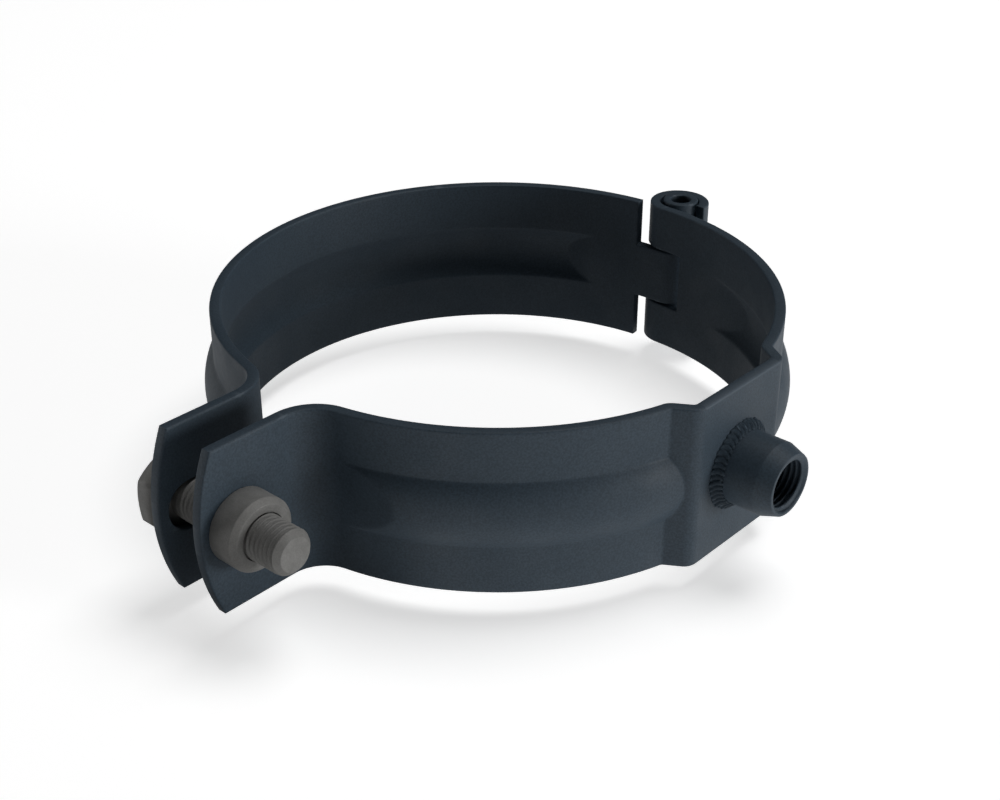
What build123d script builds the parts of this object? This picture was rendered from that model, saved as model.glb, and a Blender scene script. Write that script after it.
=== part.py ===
from build123d import *
from build123d.topology import SkipClean
from math import asin, cos, degrees, hypot, radians, sin, sqrt
import os

# Hinged pipe clamp: two pressed halves of flat strip that meet in a rolled hinge, are drawn
# together by one bolt through their ears, and hang from a threaded boss welded to one half.
#
# Millimetres. Z is the axis of the pipe, and the origin is on it at half the strip's width.
# The boss points along +X, the hinge is on +Y and the ears are on -Y.

# ---- strip ----
PIPE_R = 49.5             # inside radius of the closed ring
STRIP_T = 2.0             # thickness of the flat strip
STRIP_W = 30.0            # width of the flat strip, along the pipe
FORM_R = 0.8              # smallest inside radius of a pressed corner

# ---- stiffening rib pressed outwards along the middle of the strip ----
RIB_W = 12.0              # width over the outside of the strip
RIB_H = 2.0               # height over the outside of the strip
EAR_RIB_TIP = 24.0        # angle from the ears to the full height of the rib
EAR_RIB_FOOT = 13.5       # angle from the ears to the foot of its sloping end
HINGE_RIB_TIP = 25.0      # angle from the hinge to the full height, on the tongue half
HINGE_RIB_FOOT = 18.4     # angle from the hinge to the foot, on the tongue half
BOSS_RIB_TIP = 29.0       # the same two angles on the boss half
BOSS_RIB_FOOT = 18.8

# ---- ears ----
EAR_GAP = 8.3             # between the facing sides of the two ears
EAR_LENGTH = 23.0         # from the outside of the ring to the tip of an ear
EAR_END_R = 36.0          # radius of the rounded end of an ear
NECK_R = 6.5              # inside radius of the bend between ring and ear

# ---- hinge ----
KNUCKLE_R = 3.9           # inside radius of the rolled knuckles
KNUCKLE_TURN = 268.0      # angle that each knuckle is rolled through
PIN_CLEARANCE = 0.05      # least gap between the pin and a knuckle
PIN_OD = 7.0
PIN_BORE = 4.0
PIN_PROUD = 0.3           # height of the pin over the upper edge of the strip
PIN_BEVEL = 0.3
TONGUE_W = 11.4           # width of the middle knuckle and of the tongue that it is rolled from
HINGE_GAP = 0.3           # gap between neighbouring knuckles, and from the tongue to its window
SLIT_GAP = 1.2            # gap between the knuckles and the shoulders of the tongue half

# ---- pad and threaded boss ----
PAD_HALF = 10.7           # half the width of the flat of the pad, on the side of the pipe
PAD_RISE = 2.0            # the pad stands this much further out than the ring
PAD_ANGLE = 15.3          # from the boss's axis to where the strip leaves the ring
BOSS_OD = 13.0
BOSS_LENGTH = 10.2
BOSS_CONE = 2.9           # length of the tapered mouth end
BOSS_MOUTH_OD = 11.0      # over the end face
BOSS_BORE = 8.5           # minor diameter of the M10 thread
BOSS_LEAD_IN = 0.4        # bevel at the mouth of the thread
WELD_LEG = 1.8            # leg of the weld round the foot of the boss

# ---- bolt and nut ----
BOLT_OD = 7.9             # over the M8 thread
BOLT_LENGTH = 25.0        # under the head
BOLT_TIP_BEVEL = 0.8
BOLT_TO_TIP = 7.8         # from the bolt's axis to the tip of an ear
HEAD_AF = 13.0            # across the flats
HEAD_H = 5.3
HEAD_BEVEL = 0.6          # height of the bevel on the corners of the head
NUT_OD = 12.7
NUT_H = 5.5
NUT_BEVEL = 0.8
NUT_COLLAR_OD = 10.5      # the collar that is pressed into the ear
NUT_CLEARANCE = 0.1       # gap between the bolt and the bore of the nut
HOLE_CLEARANCE = 0.5      # gap between the bolt and the long sides of the slot in the ear
SLOT_STRETCH = 1.5        # how much further the slot runs, towards the ring and away from it

# ---- worked out from the above ----
RING_R = PIPE_R + STRIP_T
HINGE_Y = RING_R + KNUCKLE_R
CURL_R = KNUCKLE_R + STRIP_T
PAD_X = RING_R + PAD_RISE
HALF_W = STRIP_W / 2
EAR_OUTSIDE = EAR_GAP / 2 + STRIP_T
EAR_REACH = RING_R + EAR_LENGTH
BOLT_Y = BOLT_TO_TIP - EAR_REACH
BIG = 4 * PIPE_R          # longer than anything in the clamp
INTO_PAD = None           # the end of a rib that runs into the pad


def polar(radius, angle):
    """A point at an angle in degrees from the boss, anticlockwise."""
    return radius * cos(radians(angle)), radius * sin(radians(angle))


def block(x0, x1, y0, y1, z0, z1):
    """A box between two corners."""
    return Pos((x0 + x1) / 2, (y0 + y1) / 2, (z0 + z1) / 2) * Box(x1 - x0, y1 - y0, z1 - z0)


def rod(x0, x1, diameter, y=0.0):
    """A cylinder along X."""
    return Pos((x0 + x1) / 2, y, 0) * Rot(0, 90, 0) * Cylinder(diameter / 2, x1 - x0)


def hinge_cylinder(radius, z0, z1):
    """A cylinder round the axis of the hinge."""
    return Pos(0, HINGE_Y, (z0 + z1) / 2) * Cylinder(radius, z1 - z0)


# ---- the strip, seen along the pipe ----

def pad_corners(depth, side):
    """Where the slope beside the pad meets the ring and the flat, at a depth into the strip."""
    x, y = polar(PIPE_R, side * PAD_ANGLE)
    flat_x, flat_y = PAD_X - STRIP_T, side * PAD_HALF
    run = hypot(flat_x - x, flat_y - y)
    dx, dy = (flat_x - x) / run, (flat_y - y) / run
    shift_x, shift_y = depth * abs(dy), depth * side * abs(dx)
    along = (depth - shift_x) / dx
    on_flat = flat_x + depth, flat_y + shift_y + along * dy
    # the slope crosses the ring at this depth
    x, y = x + shift_x, y + shift_y
    half_b = x * dx + y * dy
    spare = x * x + y * y - (PIPE_R + depth) ** 2
    along = -half_b + sqrt(half_b ** 2 - spare)
    on_ring = x + along * dx, y + along * dy
    return on_ring, on_flat


def strip_side(depth, with_pad):
    """One side of the strip, from the tip of its ear to the end of its knuckle."""
    ring = PIPE_R + depth
    ear_x = EAR_GAP / 2 + depth
    start = degrees(asin(ear_x / ring)) - 90
    corner = polar(ring, start)
    path = [Line((ear_x, -EAR_REACH), corner)]
    crests, flats = [], []
    if with_pad:
        (low, low_flat), (high, high_flat) = pad_corners(depth, -1), pad_corners(depth, 1)
        low_angle = degrees(asin(low[1] / ring))
        high_angle = degrees(asin(high[1] / ring))
        path.append(CenterArc((0, 0), ring, start, low_angle - start))
        path.append(Polyline([low, low_flat, high_flat, high]))
        path.append(CenterArc((0, 0), ring, high_angle, 90 - high_angle))
        crests, flats = [low, high], [low_flat, high_flat]
    else:
        path.append(CenterArc((0, 0), ring, start, 90 - start))
    path.append(CenterArc((0, HINGE_Y), CURL_R - depth, -90, -KNUCKLE_TURN))
    line = Wire([edge for piece in path for edge in piece.edges()])
    line = rounded(line, [corner], NECK_R + STRIP_T - depth)
    line = rounded(line, crests, FORM_R + STRIP_T - depth)
    return rounded(line, flats, FORM_R + depth)


def rounded(line, corners, radius):
    """Round the corners of a line that lie at the given points."""
    if not corners:
        return line
    ends = line.vertices()
    picked = [min(ends, key=lambda v: hypot(v.X - x, v.Y - y)) for x, y in corners]
    return line.fillet_2d(radius, picked)


def strip(with_pad):
    """One half of the clamp as a plain bent strip, on the side of +X."""
    inner, outer = strip_side(0, with_pad), strip_side(STRIP_T, with_pad)
    caps = [Line(inner @ end, outer @ end) for end in (0, 1)]
    edges = inner.edges() + outer.edges() + [cap.edge() for cap in caps]
    plan = make_face(edges)
    body = extrude(plan, STRIP_W / 2, both=True)
    # the rounded end of the ear
    reach = Pos(0, EAR_END_R - EAR_REACH, 0) * Rot(0, 90, 0) * Cylinder(EAR_END_R, BIG)
    keep = reach + block(-BIG, BIG, EAR_END_R - EAR_REACH, BIG, -BIG, BIG)
    return body & keep


# ---- the pressed rib ----

def rib_profile(depth):
    """Section of the space below one side of the rib, in X and Z, across the strip."""
    ring = PIPE_R + STRIP_T - depth
    arc_r = (RIB_W ** 2 / 4 + RIB_H ** 2) / (2 * RIB_H)
    centre = PIPE_R + STRIP_T + RIB_H - arc_r
    bulge_r = arc_r - depth
    half = sqrt(bulge_r ** 2 - (ring - centre) ** 2)
    root = PIPE_R - STRIP_T if depth else PIPE_R + STRIP_T / 2
    edge = HALF_W + STRIP_T if depth else HALF_W - STRIP_T
    crest = centre + bulge_r
    line = Polyline([(ring, -half), (ring, -edge), (root, -edge), (root, edge), (ring, edge),
                     (ring, half)])
    bulge = ThreePointArc((ring, -half), (crest, 0), (ring, half))
    face = make_face(line.edges() + bulge.edges())
    corners = [v for v in face.vertices() if abs(abs(v.Y) - half) < 0.01]
    face = fillet(corners, FORM_R + depth)
    return Rot(90, 0, 0) * face


def slope_cut(depth, tip, foot, turn):
    """Everything outside the sloping flat at one end of a rib."""
    low = polar(PIPE_R + STRIP_T - depth, foot)
    high = polar(PIPE_R + STRIP_T - depth + RIB_H, tip)
    along = Vector(high[0] - low[0], high[1] - low[1], 0).normalized()
    outward = along.rotate(Axis.Z, -90 * turn)
    plane = Plane(origin=(*low, 0), x_dir=along, z_dir=outward)
    return plane * Pos(0, 0, BIG / 2) * Box(BIG, BIG, BIG)


def pad_cut(side):
    """Everything on the pipe's side of the middle of the slope beside the pad."""
    low, high = pad_corners(STRIP_T / 2, side)
    along = Vector(high[0] - low[0], high[1] - low[1], 0).normalized()
    inward = along.rotate(Axis.Z, -90 * side)
    plane = Plane(origin=(*low, 0), x_dir=along, z_dir=inward)
    return plane * Pos(0, 0, BIG / 2) * Box(BIG, BIG, BIG)


def rib_space(depth, first, last):
    """The metal of a rib, at depth 0, or the groove behind it, at the depth of the strip.

    Each end is (angle of full height, angle of foot), or INTO_PAD.
    """
    under_pad = degrees(asin(PAD_HALF / PAD_X))
    start = under_pad if first is INTO_PAD else first[1]
    stop = -under_pad if last is INTO_PAD else last[1]
    space = Rot(0, 0, start) * revolve(rib_profile(depth), Axis.Z, stop - start)
    for end, turn in ((first, 1), (last, -1)):
        if end is not INTO_PAD:
            space -= slope_cut(depth, end[0], end[1], turn)
        elif depth == 0:
            space -= pad_cut(turn)
    return space


def press_ribs(body, ribs):
    """Press ribs into a strip: metal is added outside and taken away inside.

    The wall above and below a groove stays a face of its own, which cleaning would undo.
    """
    for first, last in ribs:
        body += rib_space(0, first, last)
    with SkipClean():
        for first, last in ribs:
            body -= rib_space(STRIP_T, first, last)
    return body


# ---- the two halves ----

def boss_half():
    """The half with the pad, with a knuckle at each edge of the strip."""
    ear_end = (EAR_RIB_TIP - 90, EAR_RIB_FOOT - 90)
    hinge_end = (90 - BOSS_RIB_TIP, 90 - BOSS_RIB_FOOT)
    body = strip(with_pad=True)
    # window for the tongue: clear of the middle knuckle as it turns
    half_window = TONGUE_W / 2 + HINGE_GAP
    swept = CURL_R + HINGE_GAP
    edge = sqrt(swept ** 2 - (HINGE_Y - RING_R) ** 2) + HINGE_GAP
    body -= block(-BIG, edge, PIPE_R - STRIP_T, RING_R + STRIP_T / 2, -half_window, half_window)
    body -= hinge_cylinder(swept, -half_window, half_window)
    body -= rod(0, EAR_OUTSIDE + STRIP_T, NUT_COLLAR_OD, BOLT_Y)
    return press_ribs(body, [(ear_end, INTO_PAD), (INTO_PAD, hinge_end)])


def tongue_half():
    """The plain half, with its knuckle in the middle of the strip."""
    ear_end = (EAR_RIB_TIP - 90, EAR_RIB_FOOT - 90)
    hinge_end = (90 - HINGE_RIB_TIP, 90 - HINGE_RIB_FOOT)
    body = strip(with_pad=False)
    # shoulders: the strip ends here above and below the tongue
    swept = CURL_R + SLIT_GAP
    side = sqrt(swept ** 2 - (HINGE_Y - RING_R) ** 2)
    angle = degrees(asin(side / RING_R))
    for z0, z1 in ((TONGUE_W / 2, HALF_W + 1), (-HALF_W - 1, -TONGUE_W / 2)):
        body -= Rot(0, 0, -angle) * block(-BIG, 0, PIPE_R - STRIP_T, RING_R + STRIP_T / 2, z0, z1)
        body -= hinge_cylinder(CURL_R + HINGE_GAP, z0, z1)
    # slot for the bolt, long enough for the ear to tilt on it
    width = BOLT_OD + 2 * HOLE_CLEARANCE
    through = EAR_OUTSIDE + STRIP_T
    for y in (BOLT_Y - SLOT_STRETCH, BOLT_Y + SLOT_STRETCH):
        body -= rod(0, through, width, y)
    body -= block(0, through, BOLT_Y - SLOT_STRETCH, BOLT_Y + SLOT_STRETCH, -width / 2, width / 2)
    return mirror(press_ribs(body, [(ear_end, hinge_end)]), Plane.YZ)


def hinge_pin():
    """Tubular pin, pushed outwards against the knuckles by the pull of the clamp."""
    out = KNUCKLE_R - PIN_OD / 2 - PIN_CLEARANCE
    length = STRIP_W + PIN_PROUD
    tube = Cylinder(PIN_OD / 2, length) - Cylinder(PIN_BORE / 2, length + 1)
    tube = chamfer(tube.edges().group_by(Axis.Z)[-1], PIN_BEVEL)
    tube = chamfer(tube.edges().group_by(Axis.Z)[0], PIN_BEVEL)
    return Pos(0, HINGE_Y + out, PIN_PROUD / 2) * tube


# ---- the boss and its weld ----

def threaded_boss():
    """Round boss with a tapered mouth and an M10 thread all the way through it."""
    mouth = PAD_X + BOSS_LENGTH
    shoulder = mouth - BOSS_CONE
    lead = BOSS_BORE / 2 + BOSS_LEAD_IN
    section = Polyline([
        (PAD_X, BOSS_BORE / 2), (PAD_X, BOSS_OD / 2), (shoulder, BOSS_OD / 2),
        (mouth, BOSS_MOUTH_OD / 2), (mouth, lead), (mouth - BOSS_LEAD_IN, BOSS_BORE / 2)],
        close=True)
    return revolve(make_face(section.edges()), Axis.X, 360)


def weld_bead():
    """Fillet weld round the foot of the boss, with the ripples that the torch leaves."""
    foot, top = PAD_X, PAD_X + WELD_LEG
    inside = BOSS_OD / 2
    sag = WELD_LEG * 0.12
    middle = (foot + WELD_LEG / 2 - sag, inside + WELD_LEG / 2 - sag)
    edges = [Line((foot, inside), (foot, inside + WELD_LEG)),
             ThreePointArc((foot, inside + WELD_LEG), middle, (top, inside)),
             Line((top, inside), (foot, inside))]
    return revolve(make_face([line.edge() for line in edges]), Axis.X, 360)


# ---- bolt and nut ----

def hex_bolt():
    """Hexagon-headed M8 bolt, put in from the side of the tongue half."""
    seat = -EAR_OUTSIDE
    corner_r = HEAD_AF / 2 / cos(radians(30))
    head = extrude(RegularPolygon(corner_r, 6), HEAD_H)
    # the cone that bevels the corners of the head comes down to the flats at its top
    per_mm = (corner_r - HEAD_AF / 2) / HEAD_BEVEL
    head &= Cone(corner_r + (HEAD_H - HEAD_BEVEL) * per_mm, HEAD_AF / 2, HEAD_H,
                 align=(Align.CENTER, Align.CENTER, Align.MIN))
    head = Pos(seat, BOLT_Y, 0) * Rot(0, -90, 0) * head
    shank = rod(seat, seat + BOLT_LENGTH, BOLT_OD, BOLT_Y)
    shank = chamfer(shank.edges().group_by(Axis.X)[-1], BOLT_TIP_BEVEL)
    return head + shank


def press_nut():
    """Round nut with a collar that is pressed into the ear of the boss half."""
    mouth = EAR_OUTSIDE + NUT_H
    body = rod(EAR_OUTSIDE, mouth, NUT_OD, BOLT_Y)
    body = chamfer(body.edges().group_by(Axis.X)[-1], NUT_BEVEL)
    body += rod(EAR_OUTSIDE - STRIP_T, EAR_OUTSIDE, NUT_COLLAR_OD, BOLT_Y)
    bore = BOLT_OD + 2 * NUT_CLEARANCE
    body -= rod(0, mouth + 1, bore, BOLT_Y)
    return body


def main():
    os.makedirs("parts", exist_ok=True)
    pieces = {
        "boss_half": boss_half(),
        "tongue_half": tongue_half(),
        "hinge_pin": hinge_pin(),
        "threaded_boss": threaded_boss(),
        "weld_bead": weld_bead(),
        "press_nut": press_nut(),
        "hex_bolt": hex_bolt(),
    }
    for name, solid in pieces.items():
        export_step(solid, f"parts/{name}.step")


main()
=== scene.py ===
# %% [markdown]
# # Dressing a hinged pipe clamp
# The clamp is two pressed halves of flat steel strip. They share a rolled hinge, one bolt draws
# their ears together, and a threaded boss is welded to one of them. The CAD model gives every
# size, every place and every joint. This lesson gives the clamp the finish that the press, the
# weld and the paint line leave on it, one piece at a time.

# %% Load the CAD model
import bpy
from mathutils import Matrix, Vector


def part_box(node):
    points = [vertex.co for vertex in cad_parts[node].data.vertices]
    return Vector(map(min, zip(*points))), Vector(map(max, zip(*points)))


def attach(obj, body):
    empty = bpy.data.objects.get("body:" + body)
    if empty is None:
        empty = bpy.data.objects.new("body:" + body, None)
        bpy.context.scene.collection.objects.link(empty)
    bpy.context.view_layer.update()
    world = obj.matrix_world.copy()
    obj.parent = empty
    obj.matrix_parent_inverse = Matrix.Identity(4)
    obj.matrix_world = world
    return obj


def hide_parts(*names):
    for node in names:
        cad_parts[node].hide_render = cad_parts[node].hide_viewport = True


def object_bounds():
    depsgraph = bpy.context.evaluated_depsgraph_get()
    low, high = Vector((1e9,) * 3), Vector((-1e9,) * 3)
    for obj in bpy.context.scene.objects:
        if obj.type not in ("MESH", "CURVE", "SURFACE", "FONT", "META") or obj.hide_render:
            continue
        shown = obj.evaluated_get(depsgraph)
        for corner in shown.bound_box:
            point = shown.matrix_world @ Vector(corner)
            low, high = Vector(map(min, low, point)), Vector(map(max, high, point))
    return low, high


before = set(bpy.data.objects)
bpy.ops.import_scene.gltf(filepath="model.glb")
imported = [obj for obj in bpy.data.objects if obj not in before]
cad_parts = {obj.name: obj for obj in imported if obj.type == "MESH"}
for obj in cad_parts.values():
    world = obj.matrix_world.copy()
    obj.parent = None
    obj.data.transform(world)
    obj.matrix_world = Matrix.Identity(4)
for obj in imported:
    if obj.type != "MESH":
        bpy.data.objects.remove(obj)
cad_box = [list(corner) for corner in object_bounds()]
print("CAD box, in metres:", cad_box)

# %% [markdown]
# Blender works in metres, and a maker thinks in millimetres. All the shapes below are worked out
# in millimetres, and one function turns them into a mesh in metres. The pieces could also be
# modelled by hand in edit mode. Worked out from numbers, they follow the CAD model closely.
# Every piece is a closed skin, so the function makes the faces point outwards and shades them
# smooth.

# %% A skin from points and faces
from random import Random
from math import acos, atan2, ceil, cos, degrees, floor, hypot, pi, radians, sin, sqrt, tan, tau

import bmesh
import bpy
from mathutils import Matrix, Vector

MM = 0.001
SAME_POINT = 1e-7


def skin(name, points, faces):
    """A closed, smooth-shaded object from points in millimetres."""
    mesh = bpy.data.meshes.new(name)
    mesh.from_pydata([[c * MM for c in point] for point in points], [], faces)
    shell = bmesh.new()
    shell.from_mesh(mesh)
    bmesh.ops.remove_doubles(shell, verts=shell.verts, dist=SAME_POINT)
    bmesh.ops.recalc_face_normals(shell, faces=shell.faces)
    shell.to_mesh(mesh)
    shell.free()
    mesh.polygons.foreach_set("use_smooth", [True] * len(mesh.polygons))
    thing = bpy.data.objects.new(name, mesh)
    bpy.context.scene.collection.objects.link(thing)
    print(f"{name}: {len(mesh.polygons)} faces")
    return thing


print("points closer than this become one, in metres:", SAME_POINT)

# %% [markdown]
# ## The strip
# Each half starts as a flat blank, and a press bends it. It is made here in the same way. A blank
# is a grid of lines along it and across it. Each point of the grid is then carried to its place
# on the bent strip, once for the side towards the pipe and once for the outside. A solidify
# modifier on a bent sheet would be quicker, but it can't round the sheared edges or give the two
# sides of a rib their own curves.
#
# Seen along the pipe, the bent strip is a chain of arcs with straight runs between them. Each
# arc is given by its centre, its radius, the angle that it starts at and how far it turns.

# %% Sizes of the strip
PIPE_R = 49.5
STRIP_T = 2.0
HALF_W = 15.0
EAR_REACH = -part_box("boss_half")[0][1] / MM
EAR_GAP = 8.3
EAR_END_R = 36.0
NECK_R = 6.5
FORM_R = 0.8
KNUCKLE_R = 3.9
KNUCKLE_TURN = 268.0
PAD_HALF = 10.7
PAD_ANGLE = 15.3
PAD_RISE = 2.0
RING_R = PIPE_R + STRIP_T
HINGE_Y = RING_R + KNUCKLE_R
PAD_X = RING_R + PAD_RISE
MIDDLE = STRIP_T / 2
print("the ring is", 2 * PIPE_R, "mm across inside, and its ears reach out", round(EAR_REACH, 2))


# %% The bends of the strip, along its middle
def toward(angle, length=1.0):
    """A step of some length at an angle in degrees."""
    return length * cos(radians(angle)), length * sin(radians(angle))


def neck_arc():
    """The bend between an ear and the ring, and the angle where it meets the ring."""
    radius = NECK_R + MIDDLE
    x = (EAR_GAP + STRIP_T) / 2 + radius
    y = -sqrt((PIPE_R + MIDDLE + radius) ** 2 - x ** 2)
    meets = degrees(atan2(y, x))
    return ((x, y), radius, 180, meets), meets


def pad_arcs():
    """The small bends before and after the pad, and the angle where the strip leaves the ring."""
    small = FORM_R + MIDDLE
    ring = PIPE_R + MIDDLE
    low_x, low_y = toward(-PAD_ANGLE, PIPE_R)
    slope = degrees(atan2(-PAD_HALF - low_y, PAD_X - STRIP_T - low_x))
    out_x, out_y = toward(slope - 90)
    depth = low_x * out_x + low_y * out_y + MIDDLE
    leaves = slope - 90 + degrees(acos((depth + small) / (ring + small)))
    crest_x, crest_y = toward(leaves, ring + small)
    flat_x = PAD_X - MIDDLE - small
    flat_y = (depth - small - flat_x * out_x) / out_y
    before = [((crest_x, crest_y), small, leaves + 180, slope - 90 - leaves),
              ((flat_x, flat_y), small, slope - 90, 90 - slope)]
    after = [((flat_x, -flat_y), small, 0, 90 - slope),
             ((crest_x, -crest_y), small, 270 - slope, slope - 90 - leaves)]
    return before, after, leaves


def strip_bends(with_pad):
    """The arcs of one half, from its ear to the end of its knuckle."""
    neck, start = neck_arc()
    ring = PIPE_R + MIDDLE
    curl = ((0, HINGE_Y), KNUCKLE_R + MIDDLE, -90, -KNUCKLE_TURN)
    if not with_pad:
        return [neck, ((0, 0), ring, start, 90 - start), curl]
    before, after, leaves = pad_arcs()
    return ([neck, ((0, 0), ring, start, leaves - start)] + before + after
            + [((0, 0), ring, -leaves, 90 + leaves), curl])


print("bends of the half with the pad:", len(strip_bends(True)))

# %% [markdown]
# The strip is now walked from bend to bend in short steps. Each step keeps its place, the
# direction that points out of the strip, and the length walked so far. An arc that turns
# clockwise has its outside on the inside of the turn, so its direction is turned round.

# %% Walk along the bends
STEP = 0.55
MOST_TURN = 7
SAME_PLACE = 1e-6


def walk(with_pad):
    """Places along the middle of the strip after the ear: (x, y, out x, out y, length)."""
    places = []
    for (cx, cy), radius, start, turn in strip_bends(with_pad):
        side = 1 if turn > 0 else -1
        count = max(ceil(abs(radians(turn)) * radius / STEP), ceil(abs(turn) / MOST_TURN))
        for step in range(count + 1):
            dx, dy = toward(start + turn * step / count)
            x, y = cx + radius * dx, cy + radius * dy
            gap = hypot(x - places[-1][0], y - places[-1][1]) if places else 0
            if places and gap < SAME_PLACE:
                continue
            if step == 0 and places:
                last, parts = places[-1], ceil(gap / STEP)
                for part in range(1, parts):
                    share = part / parts
                    places.append((last[0] + (x - last[0]) * share,
                                   last[1] + (y - last[1]) * share,
                                   side * dx, side * dy, last[4] + gap * share))
                gap /= parts
            length = places[-1][4] + gap if places else 0
            places.append((x, y, side * dx, side * dy, length))
    return places


for padded in (True, False):
    print("length after the ear:", round(walk(padded)[-1][4], 2), "mm")

# %% [markdown]
# The edges of sheared strip are a little round, and they catch the light. So the blank has four
# close lines along every edge, and the strip grows thinner from line to line towards the edge,
# as a quarter circle does. A bevel modifier could round the edges too, but it stumbles where the
# ribs and the bends meet them. The lines are also closer where the ribs and the pad rise.

# %% Lines along and across the blank
EDGE_R = 0.28
EDGE_LINES = [EDGE_R * (1 - cos(radians(angle))) for angle in (0, 30, 60, 90)]
EAR_ROWS = 22
FINE_LINES = [0.3 * n for n in range(28)]
COARSE_LINES = [8.8 + 0.8 * n for n in range(8)]
CROWDED = 0.16
WINDOW_HALF_W = 6.0
TONGUE_HALF_W = 5.7


def without_crowding(fixed, others):
    """The fixed lines, with those of the others that aren't too near to one of them."""
    spare = [line for line in others if min(abs(line - f) for f in fixed) > CROWDED]
    return sorted(fixed + spare)


def lines_across(cut, keeps_middle):
    """Distances from the middle of the strip, from one edge to the other."""
    side = -1 if keeps_middle else 1
    fixed = [HALF_W - d for d in EDGE_LINES] + [cut + side * d for d in EDGE_LINES]
    half = without_crowding(fixed, FINE_LINES + COARSE_LINES)
    return [-z for z in reversed(half) if z > 0] + [z for z in half if z >= 0]


def lines_along(places, cut_at, fine_ranges):
    """Lengths after the ear, close at the strip's end, at the cut and in ranges of angles."""
    end = places[-1][4]
    fixed = [end - d for d in EDGE_LINES] + [cut_at - d for d in EDGE_LINES] + [0.0]
    others = [place[4] for place in places]
    for a, b in zip(places, places[1:]):
        angle = degrees(atan2(a[1], a[0]))
        if any(low < angle < high for low, high in fine_ranges):
            others.append((a[4] + b[4]) / 2)
    return without_crowding(fixed, others)


print("lines across the tongue half:", len(lines_across(TONGUE_HALF_W, True)))

# %% [markdown]
# ## The ribs
# A rib is pressed outwards along the middle of the strip, and its section is part of a circle.
# At a free end it stops in a flat slope, so it has the outline of a D. At the pad it simply runs
# into the pad's slope. Metal never folds to a sharp line, so where two surfaces meet, the larger
# of them is taken with a soft step between them. A boolean would leave a hard line there, and
# sculpting would not be the same on both halves.

# %% The height of a rib
RIB_W = 12.0
RIB_H = 2.0
BULGE_R = (RIB_W ** 2 / 4 + RIB_H ** 2) / (2 * RIB_H)
PAD_EDGE = degrees(atan2(PAD_HALF, PAD_X))
CREASE = {0.0: 0.12, STRIP_T: 0.3}
EAR_SLOPE = (13.5 - 90, 24.0 - 90)
TONGUE_SLOPE = (90 - 18.4, 90 - 25.0)
BOSS_SLOPE = (90 - 18.8, 90 - 29.0)
SLOPE_MARGIN = 8
BULGE_RIM = 1
OUT_OF_REACH = -9.0


def soft_max(a, b, reach):
    """The larger of two heights, rounded off where they are nearly equal."""
    near = max(reach - abs(a - b), 0)
    return max(a, b) + near ** 2 / (4 * reach)


def slope_height(depth, slope, angle):
    """Height of the sloping end of a rib over the ring."""
    foot, tip = slope
    ring = RING_R - depth
    inside = min(max(angle, min(foot, tip) - SLOPE_MARGIN), max(foot, tip) + SLOPE_MARGIN)
    low, high = toward(foot, ring), toward(tip, ring + RIB_H)
    run_x, run_y = high[0] - low[0], high[1] - low[1]
    ux, uy = toward(inside)
    return (low[0] * run_y - low[1] * run_x) / (ux * run_y - uy * run_x) - ring


def rib_height(depth, slopes, padded, angle, z):
    """Height of one side of the rib over the ring; depth 0 is the outside."""
    bulge = BULGE_R - depth
    if abs(z) > bulge - BULGE_RIM or (padded and abs(angle) < PAD_EDGE):
        return OUT_OF_REACH
    height = sqrt(bulge ** 2 - z ** 2) - bulge + RIB_H
    for slope in slopes:
        height = -soft_max(-height, -slope_height(depth, slope, angle), CREASE[0.0])
    return height


print("the rib's section is part of a circle of radius", BULGE_R, "mm")

# %% [markdown]
# ## From the blank to the half
# The blank is cut before it is bent. One half has a window for the tongue, and its two knuckles
# are rolled from what is left beside the window. The other half has shoulders, and the tongue
# between them is rolled into the middle knuckle.

# %% The ear's end, the thickness and a place on the walk
def ear_end(z):
    """The rounded end of an ear, as a place along Y."""
    return EAR_END_R - EAR_REACH - sqrt(EAR_END_R ** 2 - z ** 2)


def half_thickness(edge_distance):
    """Half the strip's thickness at a distance from its nearest edge."""
    inset = max(EDGE_R - max(edge_distance, 0), 0)
    return MIDDLE - EDGE_R + sqrt(EDGE_R ** 2 - inset ** 2)


def place_at(places, length):
    """The place on the walk at a length, between two steps if need be."""
    low = 0
    high = len(places) - 1
    while high - low > 1:
        half = (low + high) // 2
        if places[half][4] <= length:
            low = half
        else:
            high = half
    a, b = places[low], places[high]
    share = (length - a[4]) / (b[4] - a[4])
    return [a[k] + (b[k] - a[k]) * share for k in range(4)]


print("an ear's corners lie", round(ear_end(HALF_W) - ear_end(0), 2), "mm behind its tip")

# %% Rows of the blank, from the ear's end to the knuckle
BEFORE_SLOPE, AFTER_SLOPE = 2, 4
NECK_LENGTH = abs(radians(neck_arc()[1])) * (NECK_R + MIDDLE)


def blank_rows(places, cut_at, slopes, padded):
    """Each row is a share of the ear's length, or a length along the bends after it."""
    fine = [(min(slope) - BEFORE_SLOPE, max(slope) + AFTER_SLOPE) for slope in slopes]
    if padded:
        fine += [(-PAD_ANGLE - 2, -PAD_EDGE), (PAD_EDGE, PAD_ANGLE + 2)]
    ear_length = places[0][1] - ear_end(0)
    shares = [d / ear_length for d in EDGE_LINES] + [n / EAR_ROWS for n in range(1, EAR_ROWS)]
    return ([("ear", share) for share in shares]
            + [("bend", length) for length in lines_along(places, cut_at, fine)])


print("the neck's bend is", round(NECK_LENGTH, 2), "mm long")


# %% Carry a point of the blank to its place
def ear_place(neck, share, z):
    """A point of the ear: place, outward direction, distance from the nearest edge."""
    y = ear_end(z) + (neck[1] - ear_end(z)) * share
    tip_distance = (y - ear_end(z)) * sqrt(1 - (z / EAR_END_R) ** 2)
    return neck[0], y, 1.0, 0.0, min(HALF_W - abs(z), tip_distance)


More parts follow.
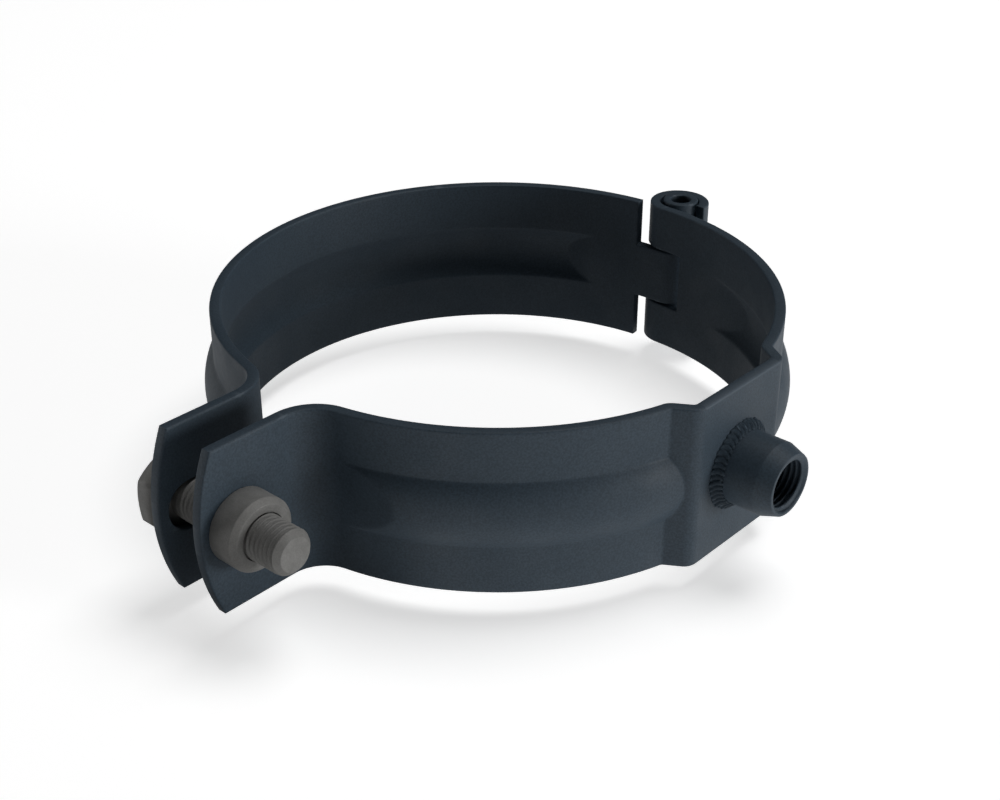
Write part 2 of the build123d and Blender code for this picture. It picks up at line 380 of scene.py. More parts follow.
def bend_place(places, length, z, cut_at, cut, keeps_middle):
    """The same after the ear, where the cut-out is one more edge."""
    x, y, out_x, out_y = place_at(places, length)
    sideways = cut - abs(z) if keeps_middle else abs(z) - cut
    beyond_cut = hypot(max(cut_at - length, 0), max(sideways, 0))
    return x, y, out_x, out_y, min(HALF_W - abs(z), places[-1][4] - length, beyond_cut)


def pressed(x, y, z, depth, slopes, padded):
    """A point of the ring, moved out to the rib where the rib is higher."""
    angle, radius = degrees(atan2(y, x)), hypot(x, y)
    lift = rib_height(depth, slopes, padded, angle, z)
    return toward(angle, soft_max(radius, RING_R - depth + lift, CREASE[depth]))


crest = hypot(*pressed(-RING_R, 0, 0, 0.0, (), False))
print("the rib stands", round(crest - RING_R, 2), "mm out of the ring")

# %% Join the points of the blank
HAIR = 1e-9


def blank_faces(rows, across, cut_at, cut, keeps_middle):
    """Both sides of the blank without its cut-out, and the edges that close it."""
    faces, borders = [], {}
    wide = len(across)
    for row in range(len(rows) - 1):
        for column in range(wide - 1):
            middle_z = abs(across[column] + across[column + 1]) / 2
            past = rows[row][0] == "bend" and rows[row][1] >= cut_at - HAIR
            if past and (middle_z > cut) == keeps_middle:
                continue
            corners = [row * wide + column, row * wide + column + 1,
                       (row + 1) * wide + column + 1, (row + 1) * wide + column]
            faces.append([2 * c for c in corners])
            faces.append([2 * c + 1 for c in corners])
            for a, b in zip(corners, corners[1:] + corners[:1]):
                borders.setdefault((min(a, b), max(a, b)), []).append((a, b))
    for sides in borders.values():
        if len(sides) == 1:
            a, b = sides[0]
            faces.append([2 * a, 2 * b, 2 * b + 1, 2 * a + 1])
    return faces


print("rows within", HAIR, "mm of the cut-out count as cut")


# %% Bend a blank
def bend(name, padded, cut, cut_angle, slopes, mirrored):
    """Bend and press one half. cut is half the width of the window or of the tongue."""
    places = walk(padded)
    keeps_middle = not padded
    ring_end = next(p[4] for p in places if abs(p[0]) < SAME_PLACE and p[1] > 0)
    cut_at = ring_end - radians(90 - cut_angle) * (PIPE_R + MIDDLE)
    across = lines_across(cut, keeps_middle)
    rows = blank_rows(places, cut_at, slopes, padded)
    points = []
    for kind, value in rows:
        for z in across:
            if kind == "ear":
                x, y, out_x, out_y, edge = ear_place(places[0], value, z)
            else:
                x, y, out_x, out_y, edge = bend_place(places, value, z, cut_at, cut,
                                                      keeps_middle)
            thick = half_thickness(edge)
            for depth, side in ((0.0, 1), (STRIP_T, -1)):
                px, py = x + side * out_x * thick, y + side * out_y * thick
                if kind == "bend" and NECK_LENGTH <= value <= ring_end:
                    px, py = pressed(px, py, z, depth, slopes, padded)
                points.append((-px if mirrored else px, py, z))
    faces = blank_faces(rows, across, cut_at, cut, keeps_middle)
    used = sorted({corner for face in faces for corner in face})
    number = {old: new for new, old in enumerate(used)}
    return skin(name, [points[old] for old in used], [[number[c] for c in f] for f in faces])


for cut, what in ((WINDOW_HALF_W, "window"), (TONGUE_HALF_W, "tongue")):
    print("the", what, "is", 2 * cut, "mm wide")

# %% Make the two halves
WINDOW_FROM_X = 5.12
WINDOW_ANGLE = degrees(acos(WINDOW_FROM_X / (PIPE_R + MIDDLE)))
SHOULDER_ANGLE = 90 - 6.61
boss_strip = bend("boss_strip", True, WINDOW_HALF_W, WINDOW_ANGLE,
                  (EAR_SLOPE, BOSS_SLOPE), False)
tongue_strip = bend("tongue_strip", False, TONGUE_HALF_W, SHOULDER_ANGLE,
                    (EAR_SLOPE, TONGUE_SLOPE), True)

# %% [markdown]
# Each ear has a hole. The nut's collar fills the one in the near ear, and the one in the far ear
# is a slot, so that the ear can tilt on the bolt. A boolean modifier cuts them with a plug, and
# its result is kept as the piece's own mesh. Holes could be left out of the grid instead, but a
# round edge doesn't follow straight lines.

# %% Rings of points and the skin over them
HOLE_SIDES = 48


def ring_of(x, radius, y, stretch):
    """Points round an axis that runs along X, drawn apart by stretch along Y."""
    points = []
    for step in range(HOLE_SIDES):
        turn = tau * (step + 0.5) / HOLE_SIDES
        shift = stretch if cos(turn) > 0 else -stretch
        points.append((x, y + radius * cos(turn) + shift, radius * sin(turn)))
    return points


def hoops(rows, closed=False):
    """Points and faces of a skin stretched over rings of points, capped unless it is closed."""
    count = len(rows[0])
    points = [point for row in rows for point in row]
    faces = []
    for row in range(len(rows) if closed else len(rows) - 1):
        a, b = row * count, (row + 1) % len(rows) * count
        faces += [(a + k, a + (k + 1) % count, b + (k + 1) % count, b + k) for k in range(count)]
    if not closed:
        faces += [tuple(range(count)), tuple(range(len(points) - count, len(points)))]
    return points, faces


print("a hole has", len(ring_of(0, 1, 0, 0)), "points round it")

# %% Cut the holes in the ears
BOLT_Y = -66.7
EAR_OUTSIDE = EAR_GAP / 2 + STRIP_T
NUT_COLLAR = 10.5
COLLAR_ROOM = 0.02
SLOT_W = 8.9
SLOT_STRETCH = 1.5
PLUG_ENDS = (2.0, 8.0)


def cut_hole(piece, radius, stretch, from_x, to_x):
    """Cut a round or long hole, along X, through one ear."""
    plug = skin("plug", *hoops([ring_of(x, radius, BOLT_Y, stretch) for x in (from_x, to_x)]))
    cutter = piece.modifiers.new("hole", "BOOLEAN")
    cutter.operation, cutter.solver, cutter.object = "DIFFERENCE", "EXACT", plug
    bpy.context.view_layer.update()
    done = piece.evaluated_get(bpy.context.evaluated_depsgraph_get())
    mesh = bpy.data.meshes.new_from_object(done)
    piece.modifiers.clear()
    piece.data = mesh
    bpy.data.objects.remove(plug)
    print(f"{piece.name}: hole cut, {len(mesh.polygons)} faces")


near, far = PLUG_ENDS
cut_hole(boss_strip, NUT_COLLAR / 2 + COLLAR_ROOM, 0.0, near, far)
cut_hole(tongue_strip, SLOT_W / 2, SLOT_STRETCH, -far, -near)

# %% [markdown]
# ## Turned pieces
# The boss, the nut, the pin and the shank of the bolt come off a lathe. Each one is an outline
# that is spun round an axis. A screw modifier would spin it too, but it can't round the corners
# first or cut a thread into it.

# %% Outlines with rounded corners
CORNER_STEPS = 4
THREAD_SPACING = 0.09


def soften(corners):
    """Round the corners of an outline of (along, across, radius of the corner)."""
    outline = []
    for k, (x, y, radius) in enumerate(corners):
        if radius == 0 or k in (0, len(corners) - 1):
            outline.append((x, y))
            continue
        before, after = corners[k - 1], corners[k + 1]
        into = atan2(y - before[1], x - before[0])
        out = atan2(after[1] - y, after[0] - x)
        turn = (out - into + pi) % tau - pi
        back = radius * abs(tan(turn / 2))
        side = 1 if turn > 0 else -1
        centre_x = x - back * cos(into) - side * radius * sin(into)
        centre_y = y - back * sin(into) + side * radius * cos(into)
        for step in range(CORNER_STEPS + 1):
            heading = into + turn * step / CORNER_STEPS
            outline.append((centre_x + side * radius * sin(heading),
                            centre_y - side * radius * cos(heading)))
    return outline


def finely(outline, spacing):
    """The same outline, with points no further apart than the spacing."""
    fine = [outline[0]]
    for (x0, y0), (x1, y1) in zip(outline, outline[1:]):
        count = max(ceil(hypot(x1 - x0, y1 - y0) / spacing), 1)
        fine += [(x0 + (x1 - x0) * k / count, y0 + (y1 - y0) * k / count)
                 for k in range(1, count + 1)]
    return fine


print("a corner becomes", len(soften([(0, 1, 0), (1, 1, 0.2), (1, 0, 0)])), "points")

# %% [markdown]
# A thread is a groove that moves along the axis as the spin goes on, so it is a radius that
# depends on the place and on the turn. A normal map could fake it, but the crests of a real
# thread show in the outline of the bolt. Both threads are drawn with a pitch of 1 mm.

# %% Threads and spinning
PITCH = 1.0
THREAD_CREST = 1 / 16
THREAD_FLANK = 5 / 16


def thread(along, turn):
    """How deep a thread is cut at a place, from 0 on its crest to 1 at its root."""
    share = along / PITCH - turn / tau
    from_crest = abs(share - floor(share) - 0.5)
    return min(max((from_crest - THREAD_CREST) / THREAD_FLANK, 0), 1)


def spin(outline, radius_at, count, place):
    """Rings of points for an outline of (along, radius)."""
    rows = []
    for along, radius in outline:
        row = []
        for step in range(count):
            turn = tau * step / count
            r = radius_at(along, radius, turn)
            row.append(place(along, r * cos(turn), r * sin(turn)))
        rows.append(row)
    return rows


def plain(along, radius, turn):
    """A surface without a thread."""
    return radius


print("between two crests the thread is cut to", thread(0, 0), "of its depth")

# %% [markdown]
# The boss is a round bar with a thread for an M10 bolt right through it. Its mouth end tapers,
# and the thread fades out at a small bevel. Its foot stands on the pad, where the weld hides it.

# %% The threaded boss
BOSS_OD = 13.0
BOSS_BORE = 8.5
BOSS_GROOVE = 0.7
BOSS_TAPER = 2.9
TAPER_END_R = 5.5
MOUTH_R = 5.1
MOUTH_BEVEL = 0.35
BOSS_SIDES = 96
boss_low, boss_high = (corner[0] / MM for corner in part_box("threaded_boss"))


def boss_radius(along, radius, turn):
    """The bore carries the thread, and the outside is plain."""
    if radius > BOSS_BORE / 2 + BOSS_GROOVE:
        return radius
    fade = min(max((boss_high - along) / MOUTH_BEVEL, 0), 1)
    groove = BOSS_GROOVE * (1 - thread(along, turn)) * fade
    return max(radius, BOSS_BORE / 2 + groove)


boss_outline = soften([
    (boss_low, BOSS_BORE / 2, 0), (boss_low, BOSS_OD / 2, 0.1),
    (boss_high - BOSS_TAPER, BOSS_OD / 2, 0.2), (boss_high, TAPER_END_R, 0.15),
    (boss_high, MOUTH_R, 0.05), (boss_high - MOUTH_BEVEL, BOSS_BORE / 2, 0)])
bore = finely([boss_outline[-1], boss_outline[0]], THREAD_SPACING)
boss = skin("boss", *hoops(spin(boss_outline[:-1] + bore[:-1], boss_radius, BOSS_SIDES,
                                lambda a, b, c: (a, b, c)), closed=True))

# %% [markdown]
# The weld goes round the foot of the boss in one pass. The torch moves on in small steps, and
# each step leaves a ripple, curved away from the way the torch went. So the bead is a small
# triangle of metal swept round the boss, and it swells and shrinks once for each ripple. No two
# ripples have the same size or lean. A bump in the finish would give the ripples no outline, and
# sculpting them would take far longer.

# %% The weld round the boss
WELD_LEG = 1.8
WELD_RIPPLES = 44
STEPS_PER_RIPPLE = 12
WELD_POINTS = 9
WELD_SINK = 0.2
LEAST_BEAD, BEAD_SWELL = 0.70, 0.26
BEAD_HOLLOW = 0.25
RIPPLE_CURVE = 0.45
rolls = Random(7)
RIPPLE_SIZES = [rolls.uniform(0.65, 1.15) for _ in range(WELD_RIPPLES)]
RIPPLE_LEANS = [rolls.uniform(-0.35, 0.35) for _ in range(WELD_RIPPLES)]


def weld_section(turn):
    """The section of the bead at one turn round the boss."""
    section = [(boss_low, BOSS_OD / 2 - WELD_SINK)]
    for step in range(WELD_POINTS):
        share = step / (WELD_POINTS - 1)
        ripples = turn * WELD_RIPPLES / tau + RIPPLE_CURVE * sin(pi * share)
        lean = RIPPLE_LEANS[floor(ripples) % WELD_RIPPLES] * (share - 0.5)
        phase = ripples + lean
        size = RIPPLE_SIZES[floor(phase) % WELD_RIPPLES]
        ripple = size * sqrt(max(1 - (2 * (phase - floor(phase)) - 1) ** 2, 0))
        swell = LEAST_BEAD + BEAD_SWELL * ripple
        angle = radians(90 * share)
        bow = 1 - BEAD_HOLLOW * sin(pi * share)
        section.append((boss_low + WELD_LEG * swell * bow * sin(angle),
                        BOSS_OD / 2 + WELD_LEG * swell * bow * cos(angle)))
    section.append((boss_low + WELD_LEG / 2, BOSS_OD / 2 - WELD_SINK))
    return section


weld_rows = []
for step in range(WELD_RIPPLES * STEPS_PER_RIPPLE):
    turn = tau * step / (WELD_RIPPLES * STEPS_PER_RIPPLE)
    weld_rows.append([(x, r * cos(turn), r * sin(turn)) for x, r in weld_section(turn)])
weld = skin("weld", *hoops(weld_rows, closed=True))

# %% [markdown]
# The hinge pin is a short tube with rounded rims. It sits a little outside the middle of its
# knuckles, because the clamp pulls it that way. The outline of its wall starts and ends in the
# bore, so no seam falls on a rim. Two cylinders and a boolean
# would give the same tube with hard rims.

# %% The hinge pin
pin_low, pin_high = [[c / MM for c in corner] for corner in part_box("hinge_pin")]
pin_y = (pin_low[1] + pin_high[1]) / 2
pin_r = (pin_high[0] - pin_low[0]) / 2
PIN_BORE_R = 2.0
PIN_RIM = 0.3
PIN_SIDES = 64
SEAM_IN = 1
pin_outline = soften([
    (pin_low[2] + SEAM_IN, PIN_BORE_R, 0), (pin_low[2], PIN_BORE_R, 0.15),
    (pin_low[2], pin_r, PIN_RIM), (pin_high[2], pin_r, PIN_RIM),
    (pin_high[2], PIN_BORE_R, 0.25), (pin_low[2] + SEAM_IN, PIN_BORE_R, 0)])
pin = skin("pin", *hoops(spin(pin_outline[:-1], plain, PIN_SIDES,
                              lambda a, b, c: (b, pin_y + c, a)), closed=True))

# %% [markdown]
# The nut is a round one. Its collar is pressed into the ear from outside, and stays there, so the
# bolt can be driven with one spanner. It is spun like the pin. Its own thread is left out,
# because the bolt fills the bore.

# %% The press nut
NUT_OD = 12.7
NUT_CHAMFER = 0.9
NUT_ROUNDING = 0.35
BORE_BEVEL = 0.12
NUT_SIDES = 80
nut_low, nut_high = (corner[0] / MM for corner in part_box("press_nut"))
NUT_BORE_R = 4.05
nut_outline = soften([
    (nut_low + SEAM_IN, NUT_BORE_R, 0), (nut_low, NUT_BORE_R, 0), (nut_low, NUT_COLLAR / 2, 0),
    (EAR_OUTSIDE, NUT_COLLAR / 2, 0), (EAR_OUTSIDE, NUT_OD / 2, 0.15),
    (nut_high - NUT_CHAMFER, NUT_OD / 2, NUT_ROUNDING),
    (nut_high, NUT_OD / 2 - NUT_CHAMFER, NUT_ROUNDING),
    (nut_high, NUT_BORE_R + BORE_BEVEL, 0.05), (nut_high - BORE_BEVEL, NUT_BORE_R, 0),
    (nut_low + SEAM_IN, NUT_BORE_R, 0)])
nut = skin("nut", *hoops(spin(nut_outline[:-1], plain, NUT_SIDES,
                              lambda a, b, c: (a, BOLT_Y + b, c)), closed=True))

# %% [markdown]
# The bolt is an M8 with a hexagon head. The head is a stack of rings of points. Each ring is the
# hexagon with slightly rounded corners, and the top rings are drawn in where the cone of the
# bevel cuts the corners. A six-sided cylinder cut with a cone would look much the same, but its
# corners would be sharp.

# %% The head of the bolt
HEAD_AF = 13.0
HEAD_H = 5.3
HEAD_CORNER_R = 0.5
SIDE_STEPS = 12
CORNER_SPAN = 6
BEVEL_START = 0.12
BEVEL_ANGLE = 30
HEAD_TOP_RINGS = ((0.03, 0.1), (0.0, 0.3), (0.0, 1.5))
bolt_low, bolt_high = (corner[0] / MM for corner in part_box("hex_bolt"))
seat = bolt_low + HEAD_H


def hexagon():
    """(distance, direction) round the head, whose corners point up and down."""
    half = HEAD_AF / 2
    places = []
    for side in range(6):
        middle = 60 * side
        for step in range(SIDE_STEPS):
            off = -30 + 60 * step / SIDE_STEPS
            reach = half / cos(radians(off))
            limit = (half - HEAD_CORNER_R) / cos(radians(30)) + HEAD_CORNER_R
            nearness = max(abs(off) - (30 - CORNER_SPAN), 0) / CORNER_SPAN
            places.append((reach + (min(reach, limit) - reach) * nearness ** 2, middle + off))
    return places


def head_ring(x, cone_r):
    """The head's outline at one place, drawn in by the cone."""
    ring = []
    for reach, direction in hexagon():
        r = min(reach, cone_r)
        ring.append((x, BOLT_Y + r * cos(radians(direction)), r * sin(radians(direction))))
    return ring


def bevel_ring():
    """Where the cone of the bevel meets the sides of the head."""
    ring = []
    for reach, direction in hexagon():
        drop = BEVEL_START + (reach - HEAD_AF / 2) * tan(radians(BEVEL_ANGLE))
        ring.append((bolt_low + drop, BOLT_Y + reach * cos(radians(direction)),
                     reach * sin(radians(direction))))
    return ring


head_rows = [head_ring(seat, HEAD_AF), bevel_ring()]
head_rows += [head_ring(bolt_low + drop, HEAD_AF / 2 - inset) for drop, inset in HEAD_TOP_RINGS]
head = hoops(head_rows)
print("the head's skin has", len(head[0]), "points")

# %% [markdown]
# The shank is spun, with the thread as a groove that dies out under the head. Its end has a bevel
# that leads it into the nut. Head and shank are two closed skins in one mesh, because the bolt
# is one piece and moves as one.

# %% The shank of the bolt
THREAD_OD = 7.9
THREAD_DEPTH = 0.3
THREAD_START, THREAD_FADE = 1.0, 1.5
TIP_BEVEL = 1.0
TIP_CAP_R = 1.0
SHANK_IN_HEAD = 1
SHANK_SIDES = 72


def shank_radius(along, radius, turn):
    """The thread, dying out under the head."""
    fade = min(max((along - seat - THREAD_START) / THREAD_FADE, 0), 1)
    groove = THREAD_DEPTH * thread(along, turn) * fade
    return min(radius, THREAD_OD / 2 - groove)


shank_outline = finely(soften([
    (seat - SHANK_IN_HEAD, THREAD_OD / 2, 0), (bolt_high - TIP_BEVEL, THREAD_OD / 2, 0.2),
    (bolt_high, THREAD_OD / 2 - TIP_BEVEL, 0.2), (bolt_high, TIP_CAP_R, 0)]), THREAD_SPACING)
shank_rows = spin(shank_outline, shank_radius, SHANK_SIDES,
                  lambda a, b, c: (a, BOLT_Y + b, c))
shank = hoops(shank_rows)
shift = len(head[0])
bolt = skin("bolt", head[0] + shank[0],
            head[1] + [tuple(shift + c for c in face) for face in shank[1]])

# %% [markdown]
# ## Riding and replacing
# Every piece now stands for its CAD node. It rides on an empty named after the node's body, so it
# moves as that empty moves, and it names the slot that its finish comes from.

# %% Put the pieces on their bodies
pieces = [
    (boss_strip, "fixed_side", "boss_half", "painted_strip"),
    (tongue_strip, "swinging_side", "tongue_half", "painted_strip"),
    (boss, "fixed_side", "threaded_boss", "painted_strip"),
    (weld, "fixed_side", "weld_bead", "painted_strip"),
    (pin, "fixed_side", "hinge_pin", "painted_strip"),
    (nut, "fixed_side", "press_nut", "zinc"),
    (bolt, "bolt", "hex_bolt", "zinc"),
]
for piece, body, node, finish in pieces:
    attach(piece, body)
    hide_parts(node)
    print(f"{piece.name} rides on {body} and stands for {node}")

# %% [markdown]
# ## Finishes
# A finish is a tree of nodes. It could also be an image wrapped round each piece, but noise in the
# object's own space needs no unwrapping, has no seams, and moves with the piece. A few helpers
# keep the trees short. A value that is the same everywhere is set on the shader itself.

# %% Noise and ramps for finishes
def grey(level):
    """A grey, as a colour of three equal numbers."""
    return (level,) * 3


def new_finish(name):
    """An empty node material: its tree, its shader and a place along each object."""
    finish = bpy.data.materials.new(name)
    finish.use_nodes = True
    tree = finish.node_tree
    place = tree.nodes.new("ShaderNodeTexCoord").outputs["Object"]
    return finish, tree, tree.nodes["Principled BSDF"], place


def noise(tree, place, size_mm, detail=3.0):
    """Noise whose features are about this many millimetres across."""
    node = tree.nodes.new("ShaderNodeTexNoise")
    node.inputs["Scale"].default_value = 1 / (size_mm * MM)
    node.inputs["Detail"].default_value = detail
    tree.links.new(place, node.inputs["Vector"])
    return node.outputs["Fac"]


def ramp(tree, value, low, high, colours):
    """Colours spread over a range of a value."""
    node = tree.nodes.new("ShaderNodeValToRGB")
    node.color_ramp.elements[0].position = low
    node.color_ramp.elements[1].position = high
    for element, colour in zip(node.color_ramp.elements, colours):
        element.color = (*colour, 1)
    tree.links.new(value, node.inputs["Fac"])
    return node.outputs["Color"]


print("three quarters of white is", grey(0.75))


# %% Mixed colours and stacked bumps
def mix(tree, share, first, second, how="MIX"):
    """Two colours mixed; the share is a number or a socket."""
    node = tree.nodes.new("ShaderNodeMix")
    node.data_type, node.blend_type = "RGBA", how
    for socket, value in ((node.inputs[0], share), (node.inputs[6], first),
                          (node.inputs[7], second)):
        if hasattr(value, "links"):
            tree.links.new(value, socket)
        else:
            socket.default_value = value
    return node.outputs[2]


def bumps(tree, shader, layers):
    """Stack bumps on a shader: (height, distance in millimetres, strength)."""
    normal = None
    for height, distance, strength in layers:
        node = tree.nodes.new("ShaderNodeBump")
        node.inputs["Distance"].default_value = distance * MM
        node.inputs["Strength"].default_value = strength
        tree.links.new(height, node.inputs["Height"])
        if normal is not None:
            tree.links.new(normal, node.inputs["Normal"])
        normal = node.outputs["Normal"]
    tree.links.new(normal, shader.inputs["Normal"])


print("materials so far:", len(bpy.data.materials))

# %% [markdown]
# The strip, the boss, the weld and the pin were coated together, in a matt anthracite. Such a
# coat is never quite even. It has a fine grain, clouds of slightly different depth, and it is
# thinner and a little paler on edges. The grain is in the bump as well as in the colour. The weld
# gets a darker, duller copy of the coat: its darker colour is painted shade for the corner
# between the boss and the pad, where the bead lies.

# %% A painted finish
ANTHRACITE = (0.035, 0.056, 0.078)
ANTHRACITE_PALE = (0.045, 0.068, 0.092)
ANTHRACITE_EDGE = (0.065, 0.088, 0.112, 1)
CLOUD_SIZE, GRAIN_SIZE, GLOSS_SIZE, ORANGE_PEEL = 22, 0.35, 6, 1.4


def coated(name, shade, shine):
    """The coat, its colours scaled by shade; a shade below 1 darkens it as painted shade, as on
    the weld.
    """
    coat, tree, shader, place = new_finish(name)
    low, high = ([c * shade for c in colour] for colour in (ANTHRACITE, ANTHRACITE_PALE))
    clouds = ramp(tree, noise(tree, place, CLOUD_SIZE, 4), 0.3, 0.7, (low, high))
    grain = noise(tree, place, GRAIN_SIZE, 2)
    speckle = ramp(tree, grain, 0.35, 0.65, (grey(0.72), grey(1.0)))
    even = mix(tree, 1.0, clouds, speckle, "MULTIPLY")
    worn = tree.nodes.new("ShaderNodeNewGeometry").outputs["Pointiness"]
    edges = ramp(tree, worn, 0.53, 0.62, ((0, 0, 0), (1, 1, 1)))
    pale = mix(tree, edges, even, ANTHRACITE_EDGE)
    tree.links.new(pale, shader.inputs["Base Color"])
    gloss = ramp(tree, noise(tree, place, GLOSS_SIZE, 3), 0.3, 0.7, (grey(0.52), grey(0.64)))
    tree.links.new(gloss, shader.inputs["Roughness"])
    shader.inputs["Specular IOR Level"].default_value = shine
    bumps(tree, shader, [(noise(tree, place, ORANGE_PEEL, 2), 0.03, 0.5), (grain, 0.02, 0.8)])
    return coat


paint = coated("matt anthracite coat", shade=1.0, shine=0.34)
# The weld's coat is darker as painted shade for the corner where the bead lies, and less shiny.
weld_coat_painted_shade = coated("coat over the weld, darkened as painted shade", shade=0.62, shine=0.1)
print("finishes:", paint.name, "and", weld_coat_painted_shade.name)

# %% [markdown]
# The bolt and the nut are zinc plated. The plating has gone dull, so it is a grey with soft,
# wide reflections rather than a mirror. The colour is darker where the surface is hollow, as at
# the bottoms of the thread. A fully metallic shader would mirror the dark sky, so this one is
# mostly a plain grey.

# %% A dull zinc finish
ZINC_DARK, ZINC_PALE = (0.180, 0.179, 0.172), (0.220, 0.218, 0.211)
ZINC_HOLLOW_DARK = (0.14, 0.138, 0.132, 1)
PATCH_SIZE, SCRATCH_SIZE, ZINC_GLOSS_SIZE, PIT_SIZE = 2.2, 0.25, 1.5, 0.6
zinc, tree, shader, place = new_finish("dull zinc plate")
patches = ramp(tree, noise(tree, place, PATCH_SIZE, 4), 0.3, 0.7, (ZINC_DARK, ZINC_PALE))
scratches = ramp(tree, noise(tree, place, SCRATCH_SIZE, 2), 0.35, 0.65, (grey(0.86), grey(1.0)))
plate = mix(tree, 1.0, patches, scratches, "MULTIPLY")
hollow = tree.nodes.new("ShaderNodeNewGeometry").outputs["Pointiness"]
# The colour turns darker where the surface is hollow, at the bottoms of the thread.
roots = ramp(tree, hollow, 0.38, 0.48, ((1, 1, 1), (0, 0, 0)))
darker_in_hollows = mix(tree, roots, plate, ZINC_HOLLOW_DARK)
tree.links.new(darker_in_hollows, shader.inputs["Base Color"])
shader.inputs["Metallic"].default_value = 0.1
shader.inputs["Specular IOR Level"].default_value = 0.3
gloss = ramp(tree, noise(tree, place, ZINC_GLOSS_SIZE, 3), 0.3, 0.7, (grey(0.48), grey(0.62)))
tree.links.new(gloss, shader.inputs["Roughness"])
bumps(tree, shader, [(noise(tree, place, PIT_SIZE, 3), 0.02, 0.5)])
print("finish:", zinc.name)

# %% Give every piece its finish
finishes = {"painted_strip": paint, "zinc": zinc}
for piece, body, node, slot in pieces:
    piece.data.materials.clear()
    # The weld gets the darker coat, whose darkness is painted shade.
    piece.data.materials.append(weld_coat_painted_shade if piece is weld else finishes[slot])
for name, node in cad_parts.items():
    print(name, "is shown by its piece:", node.hide_render)

# %% [markdown]
# ## The studio
# The clamp hangs a few millimetres above a plain pale floor, so that its shadow stays soft. The
# floor is one large face. It glows a little, so that it is close to white in the render. A
# curved backdrop would hide the horizon, but the camera looks down and never sees it from its
# own place.

# %% The floor
FLOOR_DROP = 4.5
FLOOR_HALF = 3.0
FLOOR_PALE = (0.90, 0.90, 0.90, 1)
FLOOR_GLOW = 0.60
floor_z = cad_box[0][2] - FLOOR_DROP * MM
floor_mesh = bpy.data.meshes.new("floor")
floor_mesh.from_pydata([(-FLOOR_HALF, -FLOOR_HALF, floor_z), (FLOOR_HALF, -FLOOR_HALF, floor_z),
                        (FLOOR_HALF, FLOOR_HALF, floor_z), (-FLOOR_HALF, FLOOR_HALF, floor_z)],
                       [], [(0, 1, 2, 3)])
floor_plane = bpy.data.objects.new("floor", floor_mesh)
bpy.context.scene.collection.objects.link(floor_plane)
white, tree, shader, place = new_finish("pale floor")
floor_mesh.materials.append(white)
shader.inputs["Base Color"].default_value = FLOOR_PALE
shader.inputs["Roughness"].default_value = 0.9
shader.inputs["Specular IOR Level"].default_value = 0.0
shader.inputs["Emission Color"].default_value = (1, 1, 1, 1)
shader.inputs["Emission Strength"].default_value = FLOOR_GLOW
print("the floor is", round(floor_z / MM, 2), "mm from the middle of the clamp")

# %% [markdown]
# Most of the light on the clamp comes up from the floor. This is a stage trick, not the way that
# real light behaves: to the camera the floor is the plain one above, and to all other rays it is
# a lamp that is dimmer in the ring, under the ears and at the left. Without the trick the inside
# of the ring and the lower sides of the ears would be lit as brightly as the rest. The dimming
# depends only on the place on the floor, so it is the same in every view. A rounded box gives
# each dim place its outline: its reach is 1 on the edge, and the power sets how square it is.

# %% How far a place on the floor is from a dim place
FADE_FROM, FADE_TO = 0.9, 1.25


def math_node(operation, first, second):
    """One step of arithmetic; the second value is a number or a socket."""
    node = tree.nodes.new("ShaderNodeMath")
    node.operation = operation
    tree.links.new(first, node.inputs[0])
    if hasattr(second, "links"):
        tree.links.new(second, node.inputs[1])
    else:
        node.inputs[1].default_value = second
    return node.outputs["Value"]


def floor_reach(centre, half_sizes, power):
    """How far a place is from a centre, as a share of the half sizes of a rounded box."""
    apart = tree.nodes.new("ShaderNodeSeparateXYZ")
    tree.links.new(place, apart.inputs["Vector"])
    total = None
    for axis, middle, half in zip("XY", centre, half_sizes):
        value = math_node("SUBTRACT", apart.outputs[axis], middle * MM)
        value = math_node("ABSOLUTE", math_node("DIVIDE", value, half * MM), 0)
        value = math_node("POWER", value, power)
        total = value if total is None else math_node("ADD", total, value)
    return total


print("a dim place fades out between", FADE_FROM, "and", FADE_TO, "of its size")

# %% The light from the floor
FLOOR_BOUNCE = 0.8
DIM_PLACES = (
    ("in the ring", (0, 0), (50, 50), 2, 0.38),
    ("under the ears", (0, -100), (25, 56), 6, 0.25),
    ("at the left", (-88, -20), (72, 90), 6, 0.65),
)
brightness = 1
for where, centre, half_sizes, power, dim in DIM_PLACES:
    spread = tree.nodes.new("ShaderNodeMapRange")
    for socket, value in (("From Min", FADE_FROM), ("From Max", FADE_TO), ("To Min", dim),
                          ("To Max", 1)):
        spread.inputs[socket].default_value = value
    tree.links.new(floor_reach(centre, half_sizes, power), spread.inputs["Value"])
    brightness = math_node("MINIMUM", spread.outputs["Result"], brightness)
    print(where, "the floor gives", dim, "of its light")
glow = tree.nodes.new("ShaderNodeEmission")
tree.links.new(math_node("MULTIPLY", brightness, FLOOR_BOUNCE), glow.inputs["Strength"])
either = tree.nodes.new("ShaderNodeMixShader")
tree.links.new(tree.nodes.new("ShaderNodeLightPath").outputs["Is Camera Ray"],
               either.inputs["Fac"])
tree.links.new(glow.outputs["Emission"], either.inputs[1])
tree.links.new(shader.outputs["BSDF"], either.inputs[2])
tree.links.new(either.outputs["Shader"], tree.nodes["Material Output"].inputs["Surface"])

# %% [markdown]
# The sky is almost black, so the floor and the lamps decide what is bright. One large lamp stands
# high behind the clamp. Two small ones stand low at its right and its left. Area lights are used
# because their size makes the shadows soft. A sun or a point would give hard ones.

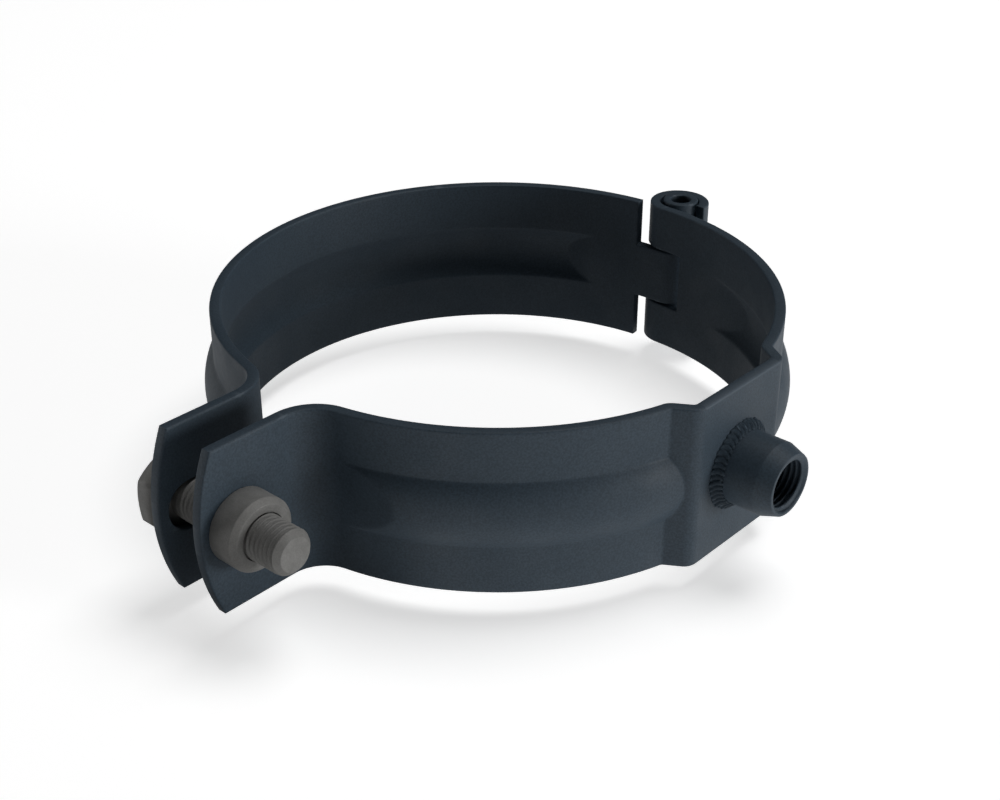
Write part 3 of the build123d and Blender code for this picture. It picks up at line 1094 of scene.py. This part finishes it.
# %% The lamps
SKY = 0.02
LAMPS_AWAY = 1.6
world = bpy.data.worlds.new("studio")
bpy.context.scene.world = world
world.use_nodes = True
world.node_tree.nodes["Background"].inputs["Color"].default_value = (1, 1, 1, 1)
world.node_tree.nodes["Background"].inputs["Strength"].default_value = SKY


def soft_box(name, heading, height, size, power):
    """A round area light, aimed at the clamp from a heading and a height, both in degrees."""
    lamp_data = bpy.data.lights.new(name, "AREA")
    lamp_data.shape, lamp_data.size, lamp_data.energy = "DISK", size, power
    lamp = bpy.data.objects.new(name, lamp_data)
    bpy.context.scene.collection.objects.link(lamp)
    lamp.location = Vector((cos(radians(heading)) * cos(radians(height)),
                            sin(radians(heading)) * cos(radians(height)),
                            sin(radians(height)))) * LAMPS_AWAY
    lamp.rotation_euler = lamp.location.to_track_quat("Z", "Y").to_euler()
    print(f"{name}: {power} W, {size} m across")


soft_box("key", heading=75, height=70, size=1.0, power=11)
soft_box("right fill", heading=20, height=8, size=0.5, power=10)
soft_box("left fill", heading=-150, height=10, size=0.5, power=3)

# %% [markdown]
# The camera stands in front of the clamp and to its right, on the side of the bolt's end, and
# looks down on it. Its lens is a little longer than normal, so the near side of the ring doesn't
# swell. The heading and the tilt are given as angles. A constraint that tracks the clamp would
# be simpler, but would put the clamp in the very middle of the frame.

# %% The camera
EYE = (173.6, -193.5, 138.8)
HEADING, LOOKS_DOWN, ROLL = 131.794, 29.492, 0.104
LENS, SENSOR = 57.25, 36.0
CLIP = (0.01, 20)
camera_data = bpy.data.cameras.new("camera")
camera_data.lens, camera_data.sensor_width = LENS, SENSOR
camera = bpy.data.objects.new("camera", camera_data)
bpy.context.scene.collection.objects.link(camera)
camera.matrix_world = (Matrix.Translation([c * MM for c in EYE])
                       @ Matrix.Rotation(radians(HEADING - 90), 4, "Z")
                       @ Matrix.Rotation(radians(90 - LOOKS_DOWN), 4, "X")
                       @ Matrix.Rotation(radians(ROLL), 4, "Z"))
camera_data.clip_start, camera_data.clip_end = CLIP
bpy.context.scene.camera = camera
view = bpy.context.scene.view_settings
view.view_transform, view.look = "Standard", "None"
print("camera at", [round(c, 4) for c in camera.location])
